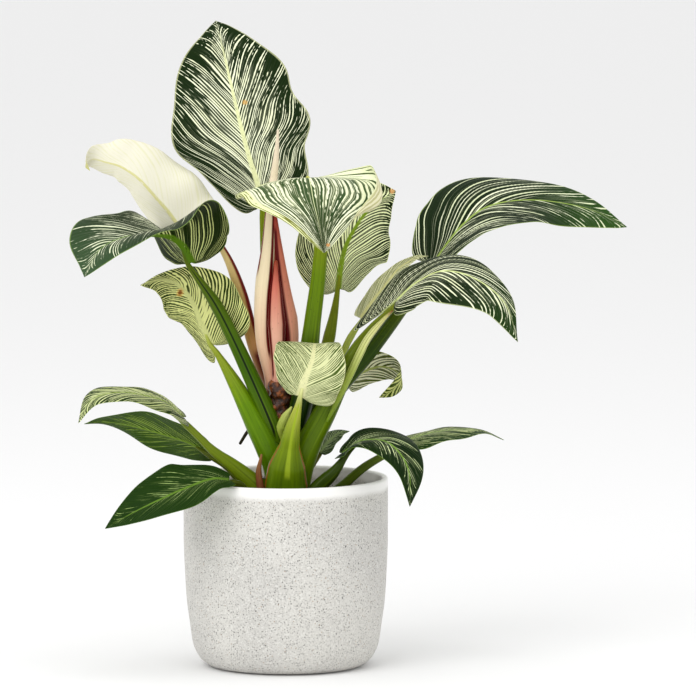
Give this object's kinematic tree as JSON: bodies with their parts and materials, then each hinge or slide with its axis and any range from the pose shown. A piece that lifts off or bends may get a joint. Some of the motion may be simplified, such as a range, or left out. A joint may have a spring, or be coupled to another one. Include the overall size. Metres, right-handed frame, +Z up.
{
  "type": "potted philodendron birkin",
  "caption": "Potted foliage plant with broad striped leaves on thick stalks round a rolled new leaf, standing in soil in a round speckled pot.",
  "frame": {"origin": "middle of the pot's flat base", "axes": "+Z up along the pot's axis, -Y towards the side with the widest view of the leaves, +X to the right seen from that side"},
  "size_m": [0.4096, 0.2086, 0.4702],
  "materials": {
    "pot_glaze": "matt speckled glaze",
    "soil": "loose potting mix",
    "stem": "brown glossy bark",
    "dark_leaf": "satin leaf with white stripes",
    "pale_leaf": "satin pale leaf with green stripes",
    "new_leaf": "smooth ivory leaf",
    "pink_sheath": "smooth pink sheath",
    "root": "dry root",
    "dry_sheath": "dry papery sheath"
  },
  "bodies": {
    "root": {"pot": "pot_glaze", "soil": "soil", "stem": "stem", "leaf_small_front": "pale_leaf", "leaf_drooping_right": "dark_leaf", "leaf_saddle_left": "dark_leaf", "leaf_pale_left": "pale_leaf", "leaf_arched_left": "pale_leaf", "leaf_front_arched": "pale_leaf", "leaf_long_right": "dark_leaf", "leaf_behind_right": "dark_leaf", "leaf_new_cream": "new_leaf", "leaf_top": "dark_leaf", "leaf_narrow_right": "pale_leaf", "leaf_small_right": "pale_leaf", "leaf_small_back": "dark_leaf", "leaf_lower_right": "dark_leaf", "leaf_far_right": "dark_leaf", "leaf_dark_left": "dark_leaf", "leaf_over_rim": "dark_leaf", "spear_cream": "new_leaf", "sheath_inner_pink": "pink_sheath", "sheath_right_pink": "pink_sheath", "sheath_right_green": "pale_leaf", "aerial_root": "root", "dried_sheath": "dry_sheath", "membrane": "dry_sheath"}
  },
  "joints": []
}
